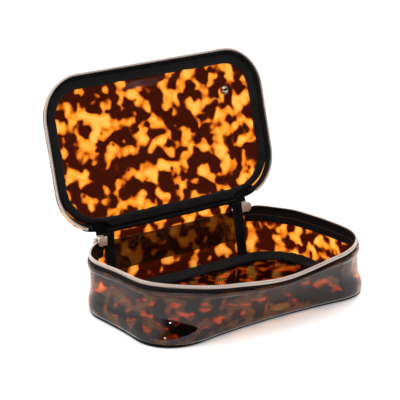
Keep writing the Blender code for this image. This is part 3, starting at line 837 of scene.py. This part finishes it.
# ---------------- base zip teeth
# One continuous nylon coil, metallised in rose gold. It is wound round a cord and sewn along
# the tape's edge.
coil_thickness = 0.0024
tooth_pitch = 0.00165
tooth_wire = 0.00040
turn_steps = 10
wire_sides = 5
cord_clearance = 1.6 * tooth_wire
rose_gold = (0.86, 0.66, 0.58)


def rose_metal(name, rough, colour=rose_gold, grain=60.0, plated=1.0):
    """Plated metal with a faint satin grain and a slightly uneven shine."""
    material, add = bare_material(name)
    place = add("TexCoord").outputs["Object"]
    smear = add("TexNoise", {"Vector": place, "Scale": grain, "Detail": 3.0}).outputs["Fac"]
    shade = add("ValToRGB", {"Fac": smear})
    ramp_stops(shade, [(0.3, tuple(0.86 * c for c in colour)), (0.7, colour)])
    spread = add("MapRange", {"Value": smear, "To Min": rough - 0.06, "To Max": rough + 0.08})
    scuff = add("TexNoise", {"Vector": place, "Scale": 20 * grain, "Detail": 2.0}).outputs["Fac"]
    bump = add("Bump", {"Height": scuff, "Strength": 0.04, "Distance": 0.00005})
    metal = add("BsdfPrincipled", {
        "Base Color": shade.outputs["Color"], "Metallic": plated,
        "Roughness": spread.outputs["Result"], "Normal": bump.outputs["Normal"],
    })
    add("OutputMaterial", {"Surface": metal.outputs[0]})
    return material


def coil_run(centres, acrosses, ups):
    """A function giving (centre, across, up) at a share of the run's length, and that length."""
    marks = [0.0]
    for a, b in zip(centres, centres[1:]):
        marks.append(marks[-1] + (b - a).length)
    total = marks[-1]

    def at(share):
        distance = min(max(share, 0.0), 1.0) * total
        low = min(bisect.bisect_right(marks, distance) - 1, len(marks) - 2)
        part = (distance - marks[low]) / (marks[low + 1] - marks[low])
        return [row[low].lerp(row[low + 1], part) for row in (centres, acrosses, ups)]

    return at, total


def wound_coil(at, total):
    """The coil itself: a wire wound in a flat oval along the run."""
    turns = round(total / tooth_pitch)
    columns = turns * turn_steps
    half_across = coil_thickness / 2 - tooth_wire
    half_up = coil_height / 2 - tooth_wire

    def wire_spot(column, row):
        turn = 2 * math.pi * column / turn_steps
        centre, across, up = at(column / columns)
        along = up.cross(across).normalized()
        out = across * math.cos(turn) + up * math.sin(turn)
        middle = centre + across * half_across * math.cos(turn) + up * half_up * math.sin(turn)
        around = round_turn(row, wire_sides)
        return middle + (out * math.cos(around) + along * math.sin(around)) * tooth_wire

    return capped(laid_grid(columns, wire_sides, wire_spot))


def coil_cord(at, columns):
    """The cord inside the coil, as an oval rod."""
    sides = 8

    def cord_spot(column, row):
        turn = round_turn(row, sides)
        centre, across, up = at(column / columns)
        reach_across = coil_thickness / 2 - cord_clearance
        reach_up = coil_height / 2 - cord_clearance
        return centre + across * reach_across * math.cos(turn) + up * reach_up * math.sin(turn)

    return capped(laid_grid(columns, sides, cord_spot))


coil_offset = tape_offset - gap
coil_stations = range(2 * tape_first, wall_columns - 2 * tape_first + 1)
base_at, base_length = coil_run(
    [wall_point(i, zip_height(i), coil_offset) for i in coil_stations],
    [rim_normals[i].to_3d() for i in coil_stations],
    [Vector((0.0, 0.0, 1.0)) for i in coil_stations],
)
base_coil = make_piece("base_teeth", wound_coil(base_at, base_length),
                       rose_metal("coil_rose", 0.34, (0.90, 0.77, 0.68), plated=0.7),
                       "base", closed=True)
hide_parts("base_zip_coil")
base_cord = make_piece("base_teeth_cord", coil_cord(base_at, wall_columns),
                       rose_metal("cord_rose", 0.5, (0.42, 0.33, 0.30)), "base", closed=True)

# ---------------- hinge fold
# Black cloth is folded over the facing edges of the back panel and the lid and sewn to both. It
# is the lid's hinge, and rolls between them as a soft bead, a little flat underneath.
bead_low, bead_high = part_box("hinge_tape")
bead_columns, bead_sides = 150, 20
bead_round, bead_flat = 0.0024, 0.0015
bead_pleat = 0.0003


def bead_spot(column, row):
    x = bead_low.x + (bead_high.x - bead_low.x) * column / bead_columns
    turn = round_turn(row, bead_sides)
    fuller = smooth_step((math.sin(turn) + 0.9) / 0.5)
    pleat = bead_pleat * gather(x, 0.01 * math.sin(turn), 9.0)
    radius = bead_flat + (bead_round - bead_flat) * fuller + pleat
    return Vector((x, hinge_back + radius * math.cos(turn), hinge_height + radius * math.sin(turn)))


bead = make_piece("hinge_fold", capped(laid_grid(bead_columns, bead_sides, bead_spot)),
                  black_cloth("hinge_fold_cloth"), "base", closed=True)
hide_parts("hinge_tape")

# ---------------- lid panel
# One sheet of the same film with rounded corners. It is drawn flat, with its inside face up,
# and then stood on the hinge, leaning back a little past upright.
lean_back = math.radians(15.0)
lid_stand = (Matrix.Translation((0.0, hinge_back, hinge_height))
             @ Matrix.Rotation(math.pi / 2 - lean_back, 4, "X"))
lid_half_length = 0.108
lid_depth = 0.1268
lid_corner = 0.036
lid_start = hinge_roll_radius + gap + vinyl / 2
lid_corner_steps = 40
lid_side_steps = 40
lid_front_steps = 100
lid_back_steps = 100


def lid_edge(inset, start=0.0, hinge_inset=0.0):
    """Open run round the lid's free side, from the hinge side's right corner to its left."""
    half = lid_half_length - inset
    low, high = lid_start + inset + hinge_inset, lid_depth - inset
    radius = lid_corner - inset
    quarter = math.pi / 2
    right, top = half - radius, high - radius
    bottom = low + radius
    last = 3 * quarter - start
    points = arc(right, bottom, radius, start - quarter, 0, lid_corner_steps)
    points += straight((half, bottom), (half, top), lid_side_steps)
    points += arc(right, top, radius, 0, quarter, lid_corner_steps)
    points += straight((right, high), (-right, high), lid_front_steps)
    points += arc(-right, top, radius, quarter, 2 * quarter, lid_corner_steps)
    points += straight((-half, top), (-half, bottom), lid_side_steps)
    points += arc(-right, bottom, radius, 2 * quarter, last, lid_corner_steps)
    points.append((-right + radius * math.cos(last), bottom + radius * math.sin(last)))
    return points


def lid_outline(inset, hinge_inset=0.0):
    """Closed outline of the lid; its hinge side may be set further in."""
    points = lid_edge(inset, 0.0, hinge_inset)
    return points[:-1] + straight(points[-1], points[0], lid_back_steps)


def in_lid(x, y, depth):
    """A point of the lid, from its place across, its distance from the hinge and its depth."""
    return lid_stand @ Vector((x, y, depth))


lid_panel_inset = 0.0022
lid_rim = lid_outline(lid_panel_inset, -lid_panel_inset)
lid_stations = len(lid_rim)
lid_rings = 34
lid_middle = (lid_start + lid_depth) / 2
lid_wave = 0.0007
lid_wave_scale = 16.0
lid_curl = 0.0012
lid_curl_rise, lid_curl_fall = (0.1050, 0.1145), (0.1165, 0.1240)
lid_curl_reach = 0.050


def curl(x, y):
    """The panel stands forward a little along its top, just under the frame's edge."""
    rise = min(max((y - lid_curl_rise[0]) / (lid_curl_rise[1] - lid_curl_rise[0]), 0.0), 1.0)
    fall = smooth_step((lid_curl_fall[1] - y) / (lid_curl_fall[1] - lid_curl_fall[0]))
    return lid_curl * rise * fall * smooth_step(2 - 2 * abs(x) / lid_curl_reach)


def lid_spot(column, row):
    x, y = lid_rim[column % lid_stations]
    share = row / lid_rings
    x, y = x * share, lid_middle + (y - lid_middle) * share
    wave = noise.noise(Vector((x * lid_wave_scale, y * lid_wave_scale, 4.0)))
    return in_lid(x, y, vinyl / 2 + lid_wave * wave * (1 - share**3) + curl(x, y))


lid_panel = make_piece("lid_sheet", laid_grid(lid_stations, lid_rings, lid_spot),
                       tortoise_vinyl("lid_vinyl", (0.6, 0.0, 0.2)), "lid", thickness=vinyl)
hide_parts("lid_panel")

# ---------------- lid wall and lid zip tape
# A narrow strip of film stands round the lid's edge, sewn to the panel. The woven zip tape is
# sewn inside it and turns out over its edge, towards the teeth.
lid_zip_start = math.radians(13.0)
lid_wall_low = vinyl + gap
lid_wall_depth = 0.0020
lid_wall_lean = 0.0006
lid_wall_inset = lid_panel_inset + vinyl / 2
lid_tape_inset = lid_wall_inset + vinyl / 2 + gap + tape / 2


def lid_strip(levels, start):
    """A low strip standing round the lid's edge, through its (inset, depth) levels."""
    lines = [lid_edge(inset, start) for inset, depth in levels]

    def strip_spot(column, row):
        return in_lid(*lines[row][column], levels[row][1])

    return laid_grid(len(lines[0]) - 1, len(levels) - 1, strip_spot,
                     size=(wall_length, lid_wall_depth))


lid_wall_high = lid_wall_low + lid_wall_depth
lid_wall_levels = [
    (lid_wall_inset, lid_wall_low),
    (lid_wall_inset - lid_wall_lean / 2, lid_wall_low + lid_wall_depth / 2),
    (lid_wall_inset - lid_wall_lean, lid_wall_high),
]
lid_tape_levels = [
    (lid_tape_inset + 0.0010, lid_wall_low + 0.0003),
    (lid_tape_inset - lid_wall_lean / 2, lid_wall_low + lid_wall_depth / 2),
    (lid_tape_inset - lid_wall_lean, lid_wall_high),
    (lid_tape_inset - 0.0014, lid_wall_high + 0.0008),
    (0.0012, lid_wall_high + 0.0011),
]
lid_wall = make_piece("lid_wall_strip", lid_strip(lid_wall_levels, lid_zip_start),
                      tortoise_vinyl("lid_wall_vinyl", (0.1, 0.5, 0.0)), "lid", thickness=vinyl)
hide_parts("lid_wall")
lid_tape = make_piece("lid_tape", lid_strip(lid_tape_levels, lid_zip_start),
                      woven_tape("lid_tape_weave"), "lid", thickness=tape)
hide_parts("lid_zip_tape")

# ---------------- lid zip teeth
# The zip's other half: the same coil round the same cord, sewn along the lid's tape, its rose
# gold drawn darker and greyer as painted shade. It starts a little way round each corner of the
# hinge side.
lid_coil_start = math.radians(21.0)
lid_coil_inset = coil_thickness / 2
lid_coil_depth = lid_wall_low + lid_wall_depth + gap + coil_height / 2
lid_coil_line = lid_edge(lid_coil_inset, lid_coil_start)
lid_out_line = lid_edge(lid_coil_inset - 0.001, lid_coil_start)
lid_up = (lid_stand.to_3x3() @ Vector((0.0, 0.0, 1.0))).normalized()
lid_centres = [in_lid(x, y, lid_coil_depth) for x, y in lid_coil_line]
lid_acrosses = [
    (in_lid(x, y, lid_coil_depth) - centre).normalized()
    for (x, y), centre in zip(lid_out_line, lid_centres)
]
lid_at, lid_length = coil_run(lid_centres, lid_acrosses, [lid_up] * len(lid_centres))
# Painted shade: this coil's rose gold is drawn darker and greyer than the base coil's.
lid_coil = make_piece("lid_teeth", wound_coil(lid_at, lid_length),
                      rose_metal("lid_coil_rose_painted_shade", 0.34, (0.84, 0.75, 0.69), plated=0.8),
                      "lid", closed=True)
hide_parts("lid_zip_coil")
lid_cord = make_piece("lid_teeth_cord", coil_cord(lid_at, len(lid_centres)),
                      rose_metal("lid_cord_rose", 0.5, (0.42, 0.33, 0.30)), "lid", closed=True)

# ---------------- lid binding
# The same wide binding of black cloth frames the lid's inside and covers its seam. It is sewn
# along its outer edge, and gathered at its inner edge.
lid_binding_inset = lid_tape_inset + tape / 2 + gap
lid_binding_width = 0.0086
lid_binding_thickness = 0.0018
lid_binding_blend = 0.0060
lid_binding_corner = 0.0020
lid_binding_edge_wave = 0.0009
lid_binding_pleat = 0.0006
inner_reach, inner_blend = 0.030, 0.034
hinge_half_length = 0.0655
frame_profile = [
    (0.00, 0.05), (0.03, 0.45), (0.12, 0.82), (0.26, 1.00), (0.42, 0.86), (0.58, 0.98),
    (0.76, 0.86), (0.90, 0.60), (0.985, 0.34), (1.00, 0.05), (0.60, 0.00), (0.30, 0.00),
]
frame_count = len(frame_profile)


def frame_line(across):
    """A line of the frame. Its hinge side passes clear of the sliders at its ends and bows out
    between them to lie against the hinge's fold."""
    corner = (1 - across) * lid_binding_corner
    shift = lid_binding_inset - gap + corner
    reach = hinge_half_length + inner_reach * across
    blend = lid_binding_blend + inner_blend * across
    line = []
    for x, y in lid_outline(lid_binding_inset + across * lid_binding_width, corner):
        if y < lid_middle:
            y -= shift * smooth_step((reach - abs(x)) / blend)
        line.append(Vector((x, y)))
    return line


frame_lines = [frame_line(across) for across, up in frame_profile]


def frame_spot(column, row):
    across, up = frame_profile[row % frame_count]
    x, y = frame_lines[row % frame_count][column % lid_stations]
    pleat = gather(x, y, 11.0) * up
    inner_edge = smooth_step((across - 0.55) / 0.4)
    inward = (Vector((0.0, lid_middle)) - Vector((x, y))).normalized()
    inward *= lid_binding_edge_wave * inner_edge
    edge = gather(x * 0.6, y * 0.6, 12.0)
    return in_lid(x + inward.x * edge, y + inward.y * edge,
                  lid_wall_low + up * lid_binding_thickness + lid_binding_pleat * pleat)


lid_binding = make_piece("lid_seam_binding", laid_grid(lid_stations, frame_count, frame_spot),
                         black_cloth("lid_binding_cloth", rough=0.72, shine=0.17),
                         "lid", closed=True)
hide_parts("lid_binding")

# ---------------- corner bindings
# At each end of the hinge the lid's bare edge is wrapped in the same binding, out to where its
# zip begins.
wrap_reach = 11
wrap_profile = [
    (0.0040, -0.0002), (0.0005, -0.0004), (-0.0005, 0.0000), (-0.0005, 0.0009),
    (0.0005, 0.0010), (0.0070, 0.0010), (0.0080, 0.0009), (0.0040, 0.0004),
]
wrap_count = len(wrap_profile)
wrap_lines = [
    lid_outline(lid_panel_inset + inset, -lid_panel_inset) for inset, depth in wrap_profile
]
for middle, label in ((0, "right"), (lid_stations - lid_back_steps, "left")):
    def wrap_spot(column, row):
        station = (middle + column - wrap_reach) % lid_stations
        x, y = wrap_lines[row % wrap_count][station]
        return in_lid(x, y, wrap_profile[row % wrap_count][1])

    wrap = make_piece(f"lid_corner_binding_{label}",
                      capped(laid_grid(2 * wrap_reach, wrap_count, wrap_spot)),
                      black_cloth(f"lid_corner_cloth_{label}"), "lid", closed=True)

# ---------------- corner gussets
# Beside each slider a scrap of the same cloth joins the lid's corner to the top of the wall. It
# crosses the hinge, and rides on neither base nor lid.
rim_centre_x = rim_half_length - rim_back_corner
lid_corner_x = lid_half_length - lid_corner
gusset_near, gusset_far = 0.058, 0.075
gusset_foot = 0.0445
gusset_half_thickness = 0.0004
gusset_crease = 0.0003
gusset_slope = 0.1
gusset_columns, gusset_sides = 16, 24
for side, label in ((-1, "left"), (1, "right")):
    def gusset_spot(column, row):
        across = gusset_near + (gusset_far - gusset_near) * column / gusset_columns
        turn = round_turn(row, gusset_sides)
        bend = max(across - rim_centre_x, 0.0)
        low = back_point(side * across, gusset_foot, 0.0)
        low.y -= rim_back_corner - math.sqrt(rim_back_corner**2 - bend**2)
        reach = lid_start + max(across - lid_corner_x, 0.0) * gusset_slope
        high = in_lid(side * across, reach, vinyl / 2)
        point = low.lerp(high, 0.5 - 0.5 * math.cos(turn))
        fold = gusset_crease * gather(across, point.z, 17.0 + side)
        return point + Vector((0.0, gusset_half_thickness * math.sin(turn) + fold, 0.0))

    gusset = make_piece(f"corner_gusset_{label}",
                        capped(laid_grid(gusset_columns, gusset_sides, gusset_spot)),
                        black_cloth(f"gusset_cloth_{label}"), None, closed=True)
    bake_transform(gusset)

# ---------------- rivet
# A two-part rivet of polished rose gold plate, pressed through the lid: a dome with a rolled
# rim and a shank on the inside, and a flat cap on the outside.
rivet_x = lid_half_length - 0.0365
rivet_y = lid_depth - 0.0348
rivet_steps = 40


def turned(profile):
    """A solid turned about the lid's depth axis from (radius, depth) pairs, ends on the axis."""
    bm = bmesh.new()
    points = [bm.verts.new((radius, 0.0, height)) for radius, height in profile]
    edges = [bm.edges.new(pair) for pair in zip(points, points[1:])]
    bmesh.ops.spin(bm, geom=points + edges, cent=(0, 0, 0), axis=(0, 0, 1),
                   angle=2 * math.pi, steps=rivet_steps, use_merge=True)
    bmesh.ops.remove_doubles(bm, verts=bm.verts, dist=1e-6)
    bmesh.ops.transform(bm, verts=bm.verts,
                        matrix=lid_stand @ Matrix.Translation((rivet_x, rivet_y, 0.0)))
    return bm


cap_low = vinyl + gap
dome_radius, dome_height = 0.0031, 0.0021
dome_steps = 8
dome_foot = 0.0003
dome_turns = [math.pi / 2 * k / dome_steps for k in range(dome_steps)]
dome = [(dome_radius * math.cos(turn),
         cap_low + dome_foot + (dome_height - dome_foot) * math.sin(turn)) for turn in dome_turns]
inner_cap = make_piece(
    "rivet_dome",
    turned([(0.0, -gap), (0.0011, -gap), (0.0011, cap_low), (0.0036, cap_low),
            (0.0038, cap_low + 0.0003), (0.0036, cap_low + 0.0006), (0.0032, cap_low + 0.0003)]
           + dome + [(0.0, cap_low + dome_height)]),
    rose_metal("rivet_rose", 0.14, (0.42, 0.31, 0.24)), "lid", closed=True,
)
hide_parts("rivet_inner_cap")
outer_cap = make_piece(
    "rivet_back",
    turned([(0.0, -0.0014), (0.0028, -0.0014), (0.0033, -0.0013), (0.0036, -0.0010),
            (0.0036, -0.0007), (0.0034, -0.0006), (0.0, -0.0006)]),
    rose_metal("rivet_back_rose", 0.2), "lid", closed=True,
)
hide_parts("rivet_outer_cap")

# ---------------- sliders
# Each slider is two plates joined by a post, with a bail on the outer plate for the pull. The
# plates are round towards the open zip, square behind, and creased across their middles.
plate_radius = 0.0043
plate_tail = 0.0044
plate_thickness = 0.0009
plate_columns = 48
plate_rings = 9
plate_ridge = 0.00035
plate_tail_share = 0.86
plate_rounding = 0.94
plate_side = ((1.0, -0.3), (1.0, -1.0), (0.0, -1.0))
slider_x = rim_half_length - 0.0299
slider_clearance = 0.0007
plate_gap = coil_thickness / 2 + slider_clearance
rim_centre = (rim_half_length - rim_back_corner, rim_back - rim_back_corner)
slider_sine = (slider_x - rim_centre[0]) / rim_back_corner
chain_y = rim_centre[1] + rim_back_corner * math.sqrt(1 - slider_sine**2) + coil_offset


def plate_edge(turn):
    """Distance from the plate's middle to its edge: round in front, square behind."""
    run, rise = math.cos(turn), math.sin(turn)
    if run >= 0:
        return plate_radius
    square = min(plate_tail / max(-run, 1e-6),
                 plate_tail_share * plate_radius / max(abs(rise), 1e-6))
    return min(square, plate_radius + (square - plate_radius) * smooth_step(-run * 2))


def join(bm, part):
    """Adds a part to a piece that is being built up, and clears the part away."""
    mesh = bpy.data.meshes.new("stage")
    part.to_mesh(mesh)
    part.free()
    bm.from_mesh(mesh)
    bpy.data.meshes.remove(mesh)


def add_plate(bm, side, front, facing):
    """One plate, with its creased face at front, facing -1 or 1 along Y."""
    def plate_spot(column, row):
        turn = 2 * math.pi * column / plate_columns
        reach = plate_edge(turn)
        if row <= plate_rings - 3:
            share = row / (plate_rings - 3)
            depth = plate_ridge * (1 - abs(math.sin(turn)) * share) * (1 - 0.5 * share**6)
            share *= plate_rounding
        else:
            share, level = plate_side[row - plate_rings + 2]
            depth = level * (plate_thickness - plate_ridge)
        x = side * (slider_x + math.cos(turn) * reach * share)
        z = slider_height + math.sin(turn) * reach * share
        return Vector((x, chain_y + front + facing * depth, z))

    join(bm, laid_grid(plate_columns, plate_rings, plate_spot))


pull_shift = 0.0018
bail_rise = 0.0030
bail_half_span = 0.0026
bail_wire = 0.00055
bail_steps, bail_sides = 24, 8
bail_squareness = 0.55
post_size = Vector((0.0016, 2 * plate_gap + plate_thickness, 0.0020))
post_shift = 0.0019
post_bevel = 0.0003
slider_rose = (0.92, 0.77, 0.67)
slider_crease_angle = math.radians(32)
for side, label in ((-1, "left"), (1, "right")):
    bm = bmesh.new()
    add_plate(bm, side, -plate_gap - plate_thickness + plate_ridge, -1)
    add_plate(bm, side, plate_gap + plate_thickness - plate_ridge, 1)
    post_z = zip_height(tape_first) + coil_height / 2 + gap + post_size.z / 2
    core = bmesh.ops.create_cube(bm, size=1.0, matrix=(
        Matrix.Translation((side * (slider_x + post_shift), chain_y, post_z))
        @ Matrix.Diagonal((*post_size, 1.0))
    ))
    edges = list({edge for vert in core["verts"] for edge in vert.link_edges})
    bmesh.ops.bevel(bm, geom=edges, offset=post_bevel, affect="EDGES", segments=2, profile=0.5,
                    material=-1)
    pull_x = side * (slider_x + pull_shift)
    foot = chain_y + plate_gap + plate_thickness / 2
    crest = chain_y + plate_gap + plate_thickness + bail_rise

    def bail_spot(column, row):
        turn = math.pi * column / bail_steps
        run = math.copysign(abs(math.cos(turn)) ** bail_squareness, math.cos(turn))
        rise = abs(math.sin(turn)) ** bail_squareness
        centre = Vector((pull_x + bail_half_span * run, foot + (crest - foot) * rise,
                         slider_height))
        out = Vector((run, rise, 0.0)).normalized()
        around = round_turn(row, bail_sides)
        return centre + out * bail_wire * math.cos(around) + Vector(
            (0.0, 0.0, bail_wire * math.sin(around)))

    join(bm, capped(laid_grid(bail_steps, bail_sides, bail_spot)))
    slider = make_piece(f"slider_body_{label}", bm,
                        rose_metal(f"slider_rose_{label}", 0.42, slider_rose, plated=0.4),
                        "base", closed=True)
    slider.data.set_sharp_from_angle(angle=slider_crease_angle)
    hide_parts(f"slider_{label}")

# ---------------- pulls
# A wire link hangs on each bail, and a rounded flat bar hangs from the link. Both are polished
# and plated in the same rose gold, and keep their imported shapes.
for label in ("left", "right"):
    for part in ("pull_bar", "pull_link"):
        finishes = frame["nodes"][f"{part}_{label}"].data.materials
        finishes.clear()
        finishes.append(rose_metal(f"{part}_rose_{label}", 0.22))
